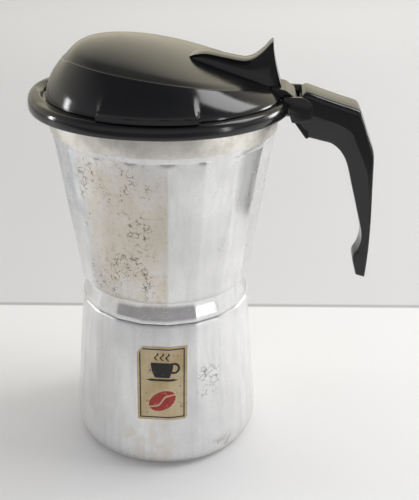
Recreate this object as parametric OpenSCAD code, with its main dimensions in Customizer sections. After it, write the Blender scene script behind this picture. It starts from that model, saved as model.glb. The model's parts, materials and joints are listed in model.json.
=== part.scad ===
// Stove-top moka pot: a faceted boiler with a safety valve, a coffee funnel, and a collector
// that screws onto the boiler and carries a moulded collar, a hinged lid and a handle.
// Millimetres. +Z is up, z = 0 is the flat base, +X points to the handle, -X to the spout.

/* [Boiler] */
// Radius at the widest part of the boiler, measured over the facet edges
boiler_r = 50; // [49:0.5:52]
// Radius of the boiler at its shoulder, where the collector sits down
shoulder_r = 43.3; // [43:0.1:44]
// Height of the shoulder above the base
shoulder_z = 82.4; // [80:0.2:84]
// Number of flat facets round the boiler and the collector
facet_count = 20; // [16:4:24]
// Thickness of the cast walls
wall = 2.6; // [2.2:0.1:3]

/* [Collector] */
// Radius of the collector at its rim
rim_r = 56.6; // [56:0.1:57]
// Height of the collector's metal rim
rim_z = 184.5; // [182:0.5:186]
// Height of the coffee column above the collector's floor
column_h = 62; // [50:1:70]

/* [Thread] */
// Rise of the screw thread in one turn
thread_pitch = 4; // [3.6:0.1:4.4]
// Turns of the ridge on the boiler's neck
thread_turns = 1.75; // [1.25:0.25:1.75]

/* [Lid and handle] */
// Outer radius of the moulded collar
collar_r = 61; // [60.5:0.1:62]
// Distance the lid's pivot stands behind the pot's axis
hinge_x = 60.5; // [60.3:0.1:60.7]
// Width of the handle's grip
handle_w = 22; // [18:0.5:22]

/* [Hidden] */
$fn = 96;
cut = 1;

// Boiler and neck
facet_phase = 180 / facet_count;
foot_r = 42.5;
widest_z = 12;
flat_factor = cos(180 / facet_count);
floor_t = 3;
neck_r = 35.6;
neck_bore_r = 32.5;
neck_top_z = 94;
shoulder_t = 4;
boiler_profile = [
  [foot_r, 0], [boiler_r - 3.7, 1.2], [boiler_r - 1.6, 4], [boiler_r - 0.4, 8],
  [boiler_r, widest_z], [shoulder_r + 0.3, shoulder_z - 0.6], [shoulder_r, shoulder_z]
];

// Thread: a ridge on the neck and one inside the collector's skirt
thread_seg = 40;
ridge_depth = 1.3;
ridge_root_w = 2.2;
ridge_crest_w = 1;
ridge_buried = 0.5;
skirt_bore_r = neck_r + 1.8;
ridge_z = 85.6;
skirt_ridge_turns = 1.5;

// Safety valve, on the flat of the boiler behind the pot
valve_angle = 90;
valve_z = 62;
valve_hole_r = 4.5;
valve_bore_r = 3;
pin_r = 1;
valve_hex_r = 7.5;
valve_seat_face_r = 8.5;
valve_share = (valve_z - widest_z) / (shoulder_z - widest_z);
valve_face = (boiler_r + (shoulder_r - boiler_r) * valve_share) * flat_factor;
spring_wire = 0.35;
spring_coil_r = 2.2;
spring_turns = 5;

// Funnel
basket_r = 31.8;
basket_z = 71;
flange_z = neck_top_z;
flange_r = 35.3;
sheet = 0.8;
stem_r = 5.5;
stem_z = 7;
strainer_z = 74;
sieve_hole_r = 0.8;

// Collector
seat_z = 98.2;
collector_floor_z = 101;
waist_r = 41;
belly_r = 44.2;
belly_z = 98.4;
skirt_z = shoulder_z + 0.2;
body_edge_z = 94;
band_z = 171.8;
gasket_in_r = 29.5;
gasket_out_r = 35.6;
band_share = (band_z - belly_z) / (rim_z - belly_z);
band_r = belly_r + (rim_r - belly_r) * band_share;
column_r = 6.5;
column_bore_r = 4.5;
press_gap = 0.02;

// Moulded collar, spout and hinge lug
collar_low_z = 181;
ledge_z = 187.6;
collar_bore_r = 52;
groove_r = rim_r + 0.3;
spout_x = -64.3;
dish_r = 27;
lip_arc_r = 450;
lip_z = 188.6;
lip_rise = 5;
ledge_w = 3.4;
cheek_in = 11.3;
cheek_out = 14;
cheek_floor_z = 182.6;
lug_front_x = 50;
lug_back_x = 61.5;
lug_low_z = 177.5;
boss_r = 3.2;
hinge_z = 186.3;
hinge_pin_r = 1.5;
pin_half = 12.8;
running = 0.05;
screw_z = 180;
screw_r = 1.8;
insert_x = 65.6;
insert_l = 9;
insert_r = 3.4;
screw_angles = [60, 180, 300];
rim_screw_z = 182.2;
rim_screw_r = 1.5;

// Lid
lid_low_z = 187.9;
lid_wall = 2.4;
crown_h = 5.4;
crown_fall = 0.12;
crown_power = 0.66;
lid_front_x = 51.4;
lid_seg = 44;
tab_half_angle = 22;
knuckle_r = 3.4;
knuckle_half = cheek_in - 0.4;
fin_half = 6;

// A closed skin over a list of rings that all have the same number of points
module skin(rings) {
  m = len(rings[0]);
  last = (len(rings) - 1) * m;
  sides = [
    for (k = [0 : len(rings) - 2])
      for (i = [0 : m - 1])
        for (half = [0, 1])
          let (a = k * m + i, b = k * m + (i + 1) % m)
            half == 0 ? [a, a + m, b + m] : [a, b + m, b]
  ];
  low_cap = [[for (i = [0 : m - 1]) i]];
  high_cap = [[for (i = [m - 1 : -1 : 0]) last + i]];
  polyhedron(points = [for (ring = rings) each ring], faces = concat(sides, low_cap, high_cap));
}

// Flat-sided body with the outline given as [radius, height] pairs from the bottom up
module faceted(outline) {
  step = 360 / facet_count;
  skin([
    for (p = outline)
      [for (i = [0 : facet_count - 1])
        [p[0] * cos(facet_phase + i * step), p[0] * sin(facet_phase + i * step), p[1]]]
  ]);
}

// Right-hand helical ridge: its inner face is at r_in and its outer face at r_out
module helix_ridge(r_in, w_in, r_out, w_out, turns, z0) {
  n = ceil(turns * thread_seg);
  section = [[r_in, -w_in / 2], [r_in, w_in / 2], [r_out, w_out / 2], [r_out, -w_out / 2]];
  skin([
    for (i = [0 : n])
      let (a = i * 360 * turns / n, z = z0 + thread_pitch * turns * i / n)
        [for (s = section) [s[0] * cos(a), s[0] * sin(a), z + s[1]]]
  ]);
}

// Turns its children so that their Z axis points out of the pot at an angle and height
module radial(angle, z) {
  translate([0, 0, z]) rotate([0, 0, angle]) rotate([0, 90, 0]) children();
}

// Extrudes a side outline, drawn in X and Z, from one y to another
module side_extrude(y0, y1) {
  translate([0, y1, 0]) rotate([90, 0, 0]) linear_extrude(height = y1 - y0) children();
}

// Round holes set out in rings about the middle of a disc
module hole_rings(r, first, pitch, rings, depth) {
  for (k = [0 : rings - 1])
    let (radius = first + k * pitch, n = floor(2 * PI * radius / pitch))
      for (i = [0 : n - 1])
        rotate([0, 0, (i + k / 2) * 360 / n])
          translate([radius, 0, -cut]) cylinder(h = depth, r = r, $fn = 24);
}

module boiler() {
  color([0.78, 0.78, 0.77]) difference() {
    union() {
      faceted(boiler_profile);
      translate([0, 0, shoulder_z - cut]) cylinder(h = neck_top_z - shoulder_z + cut, r = neck_r);
      helix_ridge(neck_r - ridge_buried, ridge_root_w, neck_r + ridge_depth, ridge_crest_w,
                  thread_turns, ridge_z);
    }
    rotate_extrude() polygon([
      [0, floor_t], [foot_r - 4, floor_t], [boiler_r * flat_factor - wall - 0.6, 8],
      [boiler_r * flat_factor - wall, widest_z],
      [shoulder_r * flat_factor - wall, shoulder_z - shoulder_t - 5],
      [neck_bore_r, shoulder_z - shoulder_t + 2], [neck_bore_r, neck_top_z + cut],
      [0, neck_top_z + cut]
    ]);
    radial(valve_angle, valve_z) translate([0, 0, valve_face - 12])
      cylinder(h = 24, r = valve_hole_r + press_gap);
    radial(valve_angle, valve_z) translate([0, 0, valve_face - 0.5])
      cylinder(h = 20, r = valve_seat_face_r);
  }
}

// Foil label stuck over two facets on the front of the boiler
module label() {
  low_z = 30;
  high_z = 71.3;
  half_w = 12.6;
  centre_angle = -85.5;
  foil_out = 0.18;
  foil_in = 0.02;
  color([0.78, 0.68, 0.45]) difference() {
    intersection() {
      faceted([for (p = boiler_profile) [p[0] + foil_out, p[1]]]);
      rotate([0, 0, centre_angle]) translate([30, -half_w, low_z])
        cube([30, 2 * half_w, high_z - low_z]);
    }
    faceted([for (p = boiler_profile) [p[0] + foil_in, p[1]]]);
  }
}

// Brass valve body: hexagon outside, threaded shank through the wall, spring chamber inside
module valve_body() {
  color([0.72, 0.56, 0.28]) radial(valve_angle, valve_z) difference() {
    union() {
      translate([0, 0, valve_face + 0.5]) cylinder(h = 4.5, r = valve_hex_r, $fn = 6);
      translate([0, 0, valve_face + 5]) cylinder(h = 1.5, r = 5);
      translate([0, 0, valve_face - 8]) cylinder(h = 9, r = valve_hole_r);
    }
    translate([0, 0, valve_face - 9]) cylinder(h = 13.5, r = valve_bore_r);
    translate([0, 0, valve_face]) cylinder(h = 10, r = pin_r + 0.08);
  }
}

// Flat sealing ring between the valve's hexagon and the boiler
module valve_washer() {
  color([0.5, 0.22, 0.16]) radial(valve_angle, valve_z) translate([0, 0, valve_face - 0.5])
    difference() {
      cylinder(h = 1, r = valve_hex_r - 0.3);
      translate([0, 0, -cut]) cylinder(h = 3, r = valve_hole_r + press_gap);
    }
}

// Ring that closes the chamber's inner end and seats the plunger
module valve_seat() {
  color([0.68, 0.52, 0.26]) radial(valve_angle, valve_z) translate([0, 0, valve_face - 8])
    difference() {
      cylinder(h = 1.6, r = valve_bore_r);
      translate([0, 0, -cut]) cylinder(h = 4, r = valve_bore_r / 2);
    }
}

module valve_spring() {
  n = spring_turns * 14;
  z0 = valve_face - 4.9;
  z1 = valve_face + 4;
  color([0.75, 0.75, 0.78]) radial(valve_angle, valve_z) skin([
    for (i = [0 : n])
      let (a = i * 360 * spring_turns / n, z = z0 + (z1 - z0) * i / n)
        [for (b = [0 : -60 : -300])
          let (r = spring_coil_r + spring_wire * cos(b))
            [r * cos(a), r * sin(a), z + spring_wire * sin(b)]]
  ]);
}

// Plunger: a disc on the seat and a pin that shows outside
module valve_plunger() {
  color([0.7, 0.7, 0.72]) radial(valve_angle, valve_z) translate([0, 0, valve_face - 6.35])
    union() {
      cylinder(h = 1, r = valve_bore_r - 0.3);
      cylinder(h = 14.35, r = pin_r);
    }
}

module funnel() {
  color([0.74, 0.74, 0.74]) rotate_extrude() polygon([
    [stem_r - sheet, stem_z], [stem_r, stem_z], [stem_r, basket_z], [basket_r - 1, basket_z],
    [basket_r, basket_z + 1], [basket_r, flange_z], [flange_r, flange_z],
    [flange_r, flange_z + sheet], [basket_r - sheet, flange_z + sheet], [basket_r - sheet, strainer_z],
    [basket_r - 3, strainer_z], [basket_r - 3, basket_z + sheet], [stem_r - sheet, basket_z + sheet]
  ]);
}

module funnel_strainer() {
  color([0.8, 0.8, 0.8]) translate([0, 0, strainer_z]) difference() {
    cylinder(h = sheet, r = basket_r - sheet - 0.1);
    hole_rings(r = sieve_hole_r, first = 6, pitch = 5.5, rings = 4, depth = 4);
  }
}

module gasket() {
  color([0.86, 0.84, 0.78]) translate([0, 0, flange_z + sheet + 0.2]) difference() {
    cylinder(h = seat_z - flange_z - sheet - 0.3, r = gasket_out_r);
    translate([0, 0, -cut]) cylinder(h = 10, r = gasket_in_r - 2);
    translate([0, 0, 1.6]) cylinder(h = 10, r = gasket_in_r);
  }
}

module filter_plate() {
  color([0.8, 0.8, 0.8]) translate([0, 0, flange_z + sheet + 1.8]) difference() {
    cylinder(h = sheet, r = gasket_in_r - 0.1);
    hole_rings(r = sieve_hole_r, first = 5, pitch = 4.6, rings = 5, depth = 4);
  }
}

module collector() {
  color([0.8, 0.8, 0.79]) difference() {
    union() {
      faceted([
        [shoulder_r, skirt_z], [shoulder_r - 0.3, skirt_z + 0.8], [waist_r, body_edge_z - 0.6],
        [waist_r + 0.9, body_edge_z], [belly_r - 0.9, body_edge_z + 1.6], [belly_r, belly_z],
        [band_r, band_z]
      ]);
      translate([0, 0, band_z]) cylinder(h = rim_z - band_z, r1 = band_r, r2 = rim_r);
    }
    difference() {
      translate([0, 0, skirt_z - cut]) cylinder(h = seat_z - skirt_z + cut, r = skirt_bore_r);
      translate([0, 0, -thread_pitch * 0.5])
        rotate([0, 0, 180])
          helix_ridge(skirt_bore_r - ridge_depth, ridge_crest_w, skirt_bore_r + ridge_buried,
                      ridge_root_w, skirt_ridge_turns, ridge_z + thread_pitch * 0.5);
    }
    rotate_extrude() polygon([
      [0, collector_floor_z], [belly_r * flat_factor - wall - 3, collector_floor_z],
      [belly_r * flat_factor - wall + 0.6, collector_floor_z + 4], [band_r * flat_factor - wall, band_z],
      [rim_r - wall, rim_z], [rim_r - wall, rim_z + cut], [0, rim_z + cut]
    ]);
    translate([0, 0, seat_z - cut]) cylinder(h = 10, r = column_r + press_gap);
    for (a = screw_angles) radial(a, rim_screw_z) cylinder(h = rim_r + 5, r = 1.6);
    radial(0, screw_z) cylinder(h = rim_r + 5, r = screw_r + 0.2);
  }
}

// Tube that the coffee rises through, pressed into the collector's floor
module column_tube() {
  color([0.8, 0.8, 0.8]) translate([0, 0, seat_z]) difference() {
    union() {
      cylinder(h = column_h, r = column_r);
      translate([0, 0, collector_floor_z - seat_z + press_gap]) cylinder(h = 2, r = column_r + 2.5);
    }
    translate([0, 0, -cut]) cylinder(h = column_h + 2 * cut, r = column_bore_r);
  }
}

// Cap on the tube, with two slots that throw the coffee sideways
module column_cap() {
  slot_h = 5;
  slot_w = 5;
  color([0.8, 0.8, 0.8]) translate([0, 0, seat_z + column_h]) difference() {
    union() {
      cylinder(h = 8, r = column_r + 0.8);
      translate([0, 0, -4]) cylinder(h = 4, r = column_r + 1.6);
    }
    translate([0, 0, -4 - cut]) cylinder(h = 4 + cut, r = column_r + press_gap);
    translate([0, 0, -cut]) cylinder(h = 7, r = column_bore_r);
    translate([-10, -slot_w / 2, 0.8]) cube([20, slot_w, slot_h]);
  }
}

// Side outline of one cheek of the hinge lug
module cheek_outline() {
  polygon([
    [56.6, 182.8], [56.6, 188.6], [57.5, 189.5], [66.6, 189.5], [69.2, 188.2], [70.6, 185.1],
    [70.2, 180], [68.5, 178], [66.5, lug_low_z], [61.4, lug_low_z], [60.4, 180], [60.2, 182.8]
  ]);
}

// Plan of the collar: round, with its front drawn out into a broad pouring lip
module collar_outline() {
  steps = 120;
  polygon([
    for (i = [0 : steps - 1])
      let (a = i * 360 / steps, r = collar_r + (-spout_x - collar_r) * max(0, -cos(a)))
        [r * cos(a), r * sin(a)]
  ]);
}

module collar() {
  sphere_r = (dish_r * dish_r + lip_rise * lip_rise) / (2 * lip_rise);
  color([0.06, 0.06, 0.06]) difference() {
    union() {
      translate([0, 0, collar_low_z]) linear_extrude(height = ledge_z - collar_low_z)
        collar_outline();
      difference() {
        intersection() {
          translate([0, 0, collar_low_z + cut]) linear_extrude(height = 10) collar_outline();
          translate([spout_x - cut, 0, lip_z - lip_arc_r]) rotate([0, 90, 0])
            cylinder(h = 40, r = lip_arc_r, $fn = 500);
        }
        translate([0, 0, ledge_z]) cylinder(h = 10, r = collar_r - ledge_w);
      }
      translate([lug_front_x, -cheek_out, collar_low_z])
        cube([lug_back_x - lug_front_x, 2 * cheek_out, ledge_z - collar_low_z]);
      translate([lug_front_x, 0, screw_z]) rotate([0, 90, 0])
        cylinder(h = lug_back_x - lug_front_x, r = boss_r);
      side_extrude(cheek_in, cheek_out) cheek_outline();
      side_extrude(-cheek_out, -cheek_in) cheek_outline();
    }
    translate([spout_x + dish_r + 3, 0, lip_z - lip_rise + sphere_r]) sphere(r = sphere_r);
    translate([0, 0, collar_low_z - 10]) cylinder(h = 30, r = collar_bore_r);
    translate([0, 0, collar_low_z - 10]) cylinder(h = rim_z + 0.2 - collar_low_z + 10, r = groove_r);
    translate([55, -cheek_in, cheek_floor_z]) cube([20, 2 * cheek_in, 20]);
    translate([hinge_x, -pin_half, hinge_z]) rotate([-90, 0, 0])
      cylinder(h = 2 * pin_half, r = hinge_pin_r);
    for (a = screw_angles)
      radial(a, rim_screw_z) translate([0, 0, 50]) cylinder(h = 9.6, r = rim_screw_r);
    radial(0, screw_z) cylinder(h = 70, r = screw_r + 0.2);
  }
}

// Three small screws that hold the collar, driven outwards from inside the rim
module collar_screws() {
  head_r = 2.2;
  head_h = 1.6;
  head_z = rim_r - wall - 2.7;
  color([0.7, 0.7, 0.72]) for (a = screw_angles) radial(a, rim_screw_z) union() {
    translate([0, 0, head_z]) cylinder(h = head_h, r = head_r);
    translate([0, 0, head_z]) cylinder(h = 7, r = rim_screw_r);
  }
}

// Lid outline round the pot: radius of its foot and of the crease where the crown starts
function foot_radius(a) = 57 - 0.5 * pow((1 - cos(a)) / 2, 3);
function crease_radius(a) = 46 + 1.5 * (1 - cos(a)) / 2 + 3 * pow((1 + cos(a)) / 2, 2);
function crease_z(x) = 202.6 - 0.13 * x - 0.0012 * x * x - 3 * exp(-pow((x + 48) / 6, 2));
function crown_z(x, t) = crease_z(x) + (crown_h - crown_fall * x) * pow(1 - t * t, crown_power);

// One ring of the lid's wall at a share s of its height, set in by the distance inset
function wall_ring(s, inset) = [
  for (i = [0 : lid_seg - 1])
    let (a = i * 360 / lid_seg, rc = crease_radius(a), top = crease_z(rc * cos(a)),
         round_r = rc + (foot_radius(a) - rc) * (1 - pow(s, 1.5)),
         r = min(round_r, lid_front_x / max(0.5, -cos(a))) - inset)
      [r * cos(a), r * sin(a), lid_low_z + (top - lid_low_z) * s - inset * (s == 0 ? 0.5 : s)]
];

// One ring of the crown at a share t of the crease's radius, set in by the distance inset
function crown_ring(t, inset) = [
  for (i = [0 : lid_seg - 1])
    let (a = i * 360 / lid_seg, r = (crease_radius(a) - 1 - inset) * t)
      [r * cos(a), r * sin(a), crown_z(r * cos(a), t) - inset]
];

module lid_form(inset) {
  skin(concat(
    [for (s = [0, 0.2, 0.4, 0.6, 0.8, 0.92, 1]) wall_ring(s, inset)],
    [for (t = [0.985, 0.93, 0.85, 0.7, 0.5, 0.25, 0.06]) crown_ring(t, inset)]
  ));
}

module fin_outline() {
  polygon([
    [12, 200], [12, 205], [16, 206.3], [20.4, 206.6], [28.5, 205.3], [35.7, 204.1], [39.5, 204.1],
    [43.2, 205.7], [46.8, 208.6], [50.6, 212.9], [51.3, 212.9], [51.3, 209.3], [52.8, 202.5],
    [54.4, 196.6], [55.6, 191], [50, 191], [30, 196]
  ]);
}

module lid() {
  arch_half_w = 21;
  arch_h = 8.2;
  arch_r = (arch_half_w * arch_half_w + arch_h * arch_h) / (2 * arch_h);
  color([0.06, 0.06, 0.06]) difference() {
    union() {
      difference() {
        lid_form(0);
        lid_form(lid_wall);
      }
      for (side = [90, 270])
        rotate([0, 0, side - tab_half_angle]) rotate_extrude(angle = 2 * tab_half_angle)
          polygon([
            [54, lid_low_z], [collar_r - 0.2, lid_low_z + 0.3], [collar_r - 0.2, 189.4], [58.6, 190.7],
            [56.8, 192.6], [54, 195]
          ]);
      side_extrude(-fin_half, fin_half) fin_outline();
      hull() {
        translate([14, -1.5, 201]) cube([2, 3, 2]);
        translate([42, -22, 193]) cube([8, 44, 1]);
        translate([48, -fin_half, 197]) cube([5.5, 2 * fin_half, 2]);
      }
      side_extrude(-knuckle_half, knuckle_half)
        polygon([
          [51, 188.2], [56.5, 188.2], [58.5, 185], [62, hinge_z], [61, 189.2], [58, 191.4],
          [51, 193]
        ]);
      translate([hinge_x, knuckle_half, hinge_z]) rotate([90, 0, 0])
        cylinder(h = 2 * knuckle_half, r = knuckle_r);
    }
    translate([hinge_x, 20, hinge_z]) rotate([90, 0, 0]) cylinder(h = 40, r = hinge_pin_r + running);
    translate([-80, 0, lid_low_z + arch_h - arch_r]) rotate([0, 90, 0])
      cylinder(h = 40, r = arch_r);
    translate([0, 0, lid_low_z - 20]) cylinder(h = 20, r = 55);
  }
}

module hinge_pin() {
  color([0.7, 0.7, 0.72]) translate([hinge_x, pin_half, hinge_z]) rotate([90, 0, 0])
    cylinder(h = 2 * pin_half, r = hinge_pin_r);
}

// Side outline of the handle: the arm, the bend and the blade with its inturned end
module handle_outline() {
  polygon([
    [64.9, 182.6], [64.9, 186.5], [65.8, 189.6], [68.2, 191.2], [70.4, 190.8], [91, 184.3],
    [92.6, 183.3], [93.4, 181.8], [100, 166], [101.3, 161], [101.9, 150], [102.9, 132],
    [103.4, 108], [103.2, 97.6], [102.5, 96], [98.9, 96.2], [97.4, 98], [96.8, 100],
    [96.1, 106.3], [97.2, 109.8], [99, 113], [99.7, 116.5], [99.5, 119.5], [98.8, 122],
    [96.4, 130.7], [91.9, 146.3], [89.8, 153.8], [87.6, 159.4], [84.6, 163.6], [80.6, 166.6],
    [75, 168], [68.4, 168.2], [64.7, 173.5], [62.3, 176.6], [61.7, 179.5], [61.7, 182.6]
  ]);
}

module handle() {
  end_w = 15;
  taper_z = 160;
  end_z = 95;
  color([0.06, 0.06, 0.06]) difference() {
    intersection() {
      side_extrude(-handle_w / 2, handle_w / 2) handle_outline();
      rotate([0, 90, 0]) linear_extrude(height = 200) polygon([
        [-200, -handle_w / 2], [-200, handle_w / 2], [-taper_z, handle_w / 2], [-end_z, end_w / 2],
        [-end_z, -end_w / 2], [-taper_z, -handle_w / 2]
      ]);
    }
    translate([60, 0, screw_z]) rotate([0, 90, 0]) cylinder(h = 10, r = screw_r + 0.2);
    translate([insert_x, 0, screw_z]) rotate([0, 90, 0]) cylinder(h = insert_l + 1, r = insert_r);
  }
}

// Threaded brass insert moulded into the handle
module handle_insert() {
  color([0.72, 0.56, 0.28]) translate([insert_x, 0, screw_z]) rotate([0, 90, 0]) difference() {
    cylinder(h = insert_l, r = insert_r);
    translate([0, 0, -cut]) cylinder(h = 20, r = screw_r);
  }
}

// Screw that holds the handle, driven from inside the rim
module handle_screw() {
  head_x = 49.1;
  head_r = 3.4;
  color([0.7, 0.7, 0.72]) translate([head_x, 0, screw_z]) rotate([0, 90, 0]) union() {
    cylinder(h = 3, r = head_r);
    cylinder(h = 24, r = screw_r);
  }
}

boiler();
label();
valve_body();
valve_washer();
valve_seat();
valve_spring();
valve_plunger();
funnel();
funnel_strainer();
gasket();
filter_plate();
collector();
column_tube();
column_cap();
collar();
collar_screws();
lid();
hinge_pin();
handle();
handle_insert();
handle_screw();
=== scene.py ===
"""Looks of the moka pot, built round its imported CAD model.

Lengths are millimetres until a mesh is made; node trees and the stage are in metres.
"""

import json
import math

import bmesh
import bpy
from mathutils import Matrix, Vector


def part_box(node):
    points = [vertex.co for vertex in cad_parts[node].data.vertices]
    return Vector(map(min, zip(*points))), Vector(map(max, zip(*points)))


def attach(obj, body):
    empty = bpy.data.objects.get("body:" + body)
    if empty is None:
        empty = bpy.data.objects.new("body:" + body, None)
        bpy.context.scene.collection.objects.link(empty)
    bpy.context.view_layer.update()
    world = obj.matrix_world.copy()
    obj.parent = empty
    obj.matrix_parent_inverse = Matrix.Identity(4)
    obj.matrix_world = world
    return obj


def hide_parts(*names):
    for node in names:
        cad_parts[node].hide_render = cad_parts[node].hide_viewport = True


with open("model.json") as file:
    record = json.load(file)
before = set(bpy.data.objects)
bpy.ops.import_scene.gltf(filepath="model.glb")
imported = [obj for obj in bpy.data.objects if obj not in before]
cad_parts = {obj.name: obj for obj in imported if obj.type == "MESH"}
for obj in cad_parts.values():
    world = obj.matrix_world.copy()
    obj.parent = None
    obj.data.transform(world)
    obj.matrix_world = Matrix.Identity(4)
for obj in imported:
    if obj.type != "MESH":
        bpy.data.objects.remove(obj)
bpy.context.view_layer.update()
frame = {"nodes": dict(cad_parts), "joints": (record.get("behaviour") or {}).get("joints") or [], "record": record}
MM = 0.001


def box_mm(node):
    """Lowest and highest corner of a CAD node, in millimetres."""
    low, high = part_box(node)
    return [c / MM for c in low], [c / MM for c in high]


# ---------------------------------------------------------------- sizes, from the frame
BOILER_HIGH = box_mm("boiler")[1]
COLLECTOR_LOW, COLLECTOR_HIGH = box_mm("collector")
COLLAR_LOW = box_mm("collar")[0]
HINGE = next(j["pos_m"] for j in frame["joints"] if j["name"] == "lid_hinge")
PITCH = 2 * math.pi * frame["record"]["behaviour"]["couplings"][0]["ratio"] / MM

FACETS = 20
HALF_FACET = math.pi / FACETS
FLAT_SHARE = 0.9877
BOILER_R = 50.0
WIDEST_Z = 12
SHOULDER_R = 43.3
SHOULDER_Z = 82.4
WALL = 2.6
NECK_R = 35.6
NECK_BORE_R = 32.5
NECK_TOP_Z = BOILER_HIGH[2]
SKIRT_Z = COLLECTOR_LOW[2]
RIM_Z = COLLECTOR_HIGH[2]
RIM_R = COLLECTOR_HIGH[0]
SKIRT_BORE_R = NECK_R + 1.8
RIDGE_DEPTH = 1.3
RIDGE_BURIED = 0.5
RIDGE_ROOT_W = 2.2
RIDGE_CREST_W = 1.0
RIDGE_Z = 85.6
TUBE_R = 6.5
SEAT_Z = 98.2
FLOOR_Z = 101.0
WAIST_R = 41.0
BELLY_R = 44.2
BELLY_Z = 98.4
BAND_Z = 171.8
BAND_R = BELLY_R + (RIM_R - BELLY_R) * (BAND_Z - BELLY_Z) / (RIM_Z - BELLY_Z)
COLLAR_LOW_Z = 181.0
LEDGE_Z = 187.6
COLLAR_R = 61.0
LIP_REACH = -COLLAR_LOW[0] - COLLAR_R
LIP_Z = LEDGE_Z + 1.0
GROOVE_TOP_Z = 184.7
LID_LOW_Z = 187.9
LID_WALL = 2.4
CHEEK_IN = 11.3
CHEEK_OUT = 14
ARM_HALF = 10.9
HINGE_X, HINGE_Z = HINGE[0] / MM, HINGE[2] / MM


# ---------------------------------------------------------------- small maths
def lerp(a, b, t):
    """Value at share t of the way from a to b."""
    return a + (b - a) * t


def smooth(a, b, x):
    """0 at a and before it, 1 at b and past it, smooth between; a may be above b."""
    t = min(1.0, max(0.0, (x - a) / (b - a)))
    return t * t * (3 - 2 * t)


def along(points, t):
    """Point at share t of a Catmull-Rom curve through the points."""
    n = len(points) - 1
    k = min(n - 1, int(t * n))
    u = t * n - k
    near = [points[min(n, max(0, k + i))] for i in (-1, 0, 1, 2)]
    out = []
    for a, b, c, d in zip(*near):
        square = 2 * a - 5 * b + 4 * c - d
        cube = 3 * b - a - 3 * c + d
        out.append(0.5 * (2 * b + (c - a) * u + square * u * u + cube * u ** 3))
    return tuple(out)


def table(pairs, x):
    """Value at x of a line drawn through (x, value) pairs."""
    if x <= pairs[0][0]:
        return pairs[0][1]
    for (x0, v0), (x1, v1) in zip(pairs, pairs[1:]):
        if x <= x1:
            return lerp(v0, v1, (x - x0) / (x1 - x0))
    return pairs[-1][1]


def rounded(points, radius, steps=5):
    """Closed outline with its corners rounded; radius is one number or one for each corner."""
    out = []
    n = len(points)
    for i in range(n):
        p = Vector(points[i])
        r = radius[i] if isinstance(radius, (list, tuple)) else radius
        u = Vector(points[i - 1]) - p
        v = Vector(points[(i + 1) % n]) - p
        cut = min(r, 0.45 * u.length, 0.45 * v.length)
        if cut < 1e-4:
            out.append(tuple(p))
            continue
        s = p + u.normalized() * cut
        e = p + v.normalized() * cut
        for k in range(steps + 1):
            t = k / steps
            out.append(tuple((1 - t) ** 2 * s + 2 * t * (1 - t) * p + t * t * e))
    return out


def facet_factor(angle, softness=0.55):
    """Radius of a soft-edged polygon with FACETS sides over its corner radius; a flat faces +X."""
    local = (angle + HALF_FACET) % (2 * HALF_FACET) - HALF_FACET
    flat = math.cos(HALF_FACET) / math.cos(local)
    edge = abs(local) / HALF_FACET
    eased = edge - softness * 0.5 * max(0.0, edge - (1 - softness)) ** 2 / softness
    return lerp(math.cos(HALF_FACET), flat, eased / max(edge, 1e-6))


# ---------------------------------------------------------------- mesh helpers
def new_object(name, verts, faces, smooth_angle=35):
    """Mesh object from millimetre points, shaded smooth with sharp edges kept."""
    mesh = bpy.data.meshes.new(name)
    mesh.from_pydata([tuple(c * MM for c in v) for v in verts], [], faces)
    mesh.validate()
    bm = bmesh.new()
    bm.from_mesh(mesh)
    bmesh.ops.recalc_face_normals(bm, faces=bm.faces)
    bm.to_mesh(mesh)
    bm.free()
    ob = bpy.data.objects.new(name, mesh)
    bpy.context.scene.collection.objects.link(ob)
    mesh.shade_smooth()
    mesh.set_sharp_from_angle(angle=math.radians(smooth_angle))
    return ob


def skin(rings, loop=False):
    """Skin over rings of equal length: loop joins the last to the first, else both ends are capped."""
    m = len(rings[0])
    verts = [p for ring in rings for p in ring]
    faces = []
    count = len(rings)
    for k in range(count if loop else count - 1):
        here = k * m
        there = (k + 1) % count * m
        for i in range(m):
            j = (i + 1) % m
            faces.append((here + i, here + j, there + j, there + i))
    if not loop:
        faces.append(tuple(range(m)))
        faces.append(tuple(range((count - 1) * m, count * m)))
    return verts, faces


def turned(name, section, steps):
    """Ring swept round Z from section(angle), a closed list of (radius, z)."""
    rings = []
    for i in range(steps):
        a = 2 * math.pi * i / steps
        rings.append([(r * math.cos(a), r * math.sin(a), z) for r, z in section(a)])
    verts, faces = skin(rings, loop=True)
    return new_object(name, verts, faces)


def extrude_side(name, outline, y0, y1, bevel):
    """Plate with a side outline in X and Z between two y, with its edges bevelled."""
    n = len(outline)
    verts = [(x, y0, z) for x, z in outline] + [(x, y1, z) for x, z in outline]
    faces = [(i, (i + 1) % n, n + (i + 1) % n, n + i) for i in range(n)]
    faces += [tuple(range(n)), tuple(range(n, 2 * n))]
    ob = new_object(name, verts, faces)
    if bevel:
        add_bevel(ob, bevel)
    return ob


def add_bevel(ob, width):
    """Rounds the sharp edges of an object when its modifiers are applied."""
    m = ob.modifiers.new("edges", "BEVEL")
    m.width = width * MM
    m.segments = 3
    m.limit_method = "ANGLE"
    m.angle_limit = math.radians(30)
    m.harden_normals = True


def apply_modifiers(ob):
    """Replaces the mesh by what its modifiers make."""
    dg = bpy.context.evaluated_depsgraph_get()
    mesh = bpy.data.meshes.new_from_object(ob.evaluated_get(dg))
    ob.modifiers.clear()
    ob.data = mesh
    return ob


def boolean(ob, other, operation):
    """Applies a boolean with another object, which is then removed."""
    m = ob.modifiers.new("cut", "BOOLEAN")
    m.operation = operation
    m.solver = "EXACT"
    m.object = other
    apply_modifiers(ob)
    bpy.data.objects.remove(other)
    return ob


def join(target, *others):
    """Adds the other objects' meshes to the target's, as further closed shells."""
    bm = bmesh.new()
    bm.from_mesh(target.data)
    for o in others:
        bm.from_mesh(o.data)
        bpy.data.objects.remove(o)
    bm.to_mesh(target.data)
    bm.free()
    return target


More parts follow.
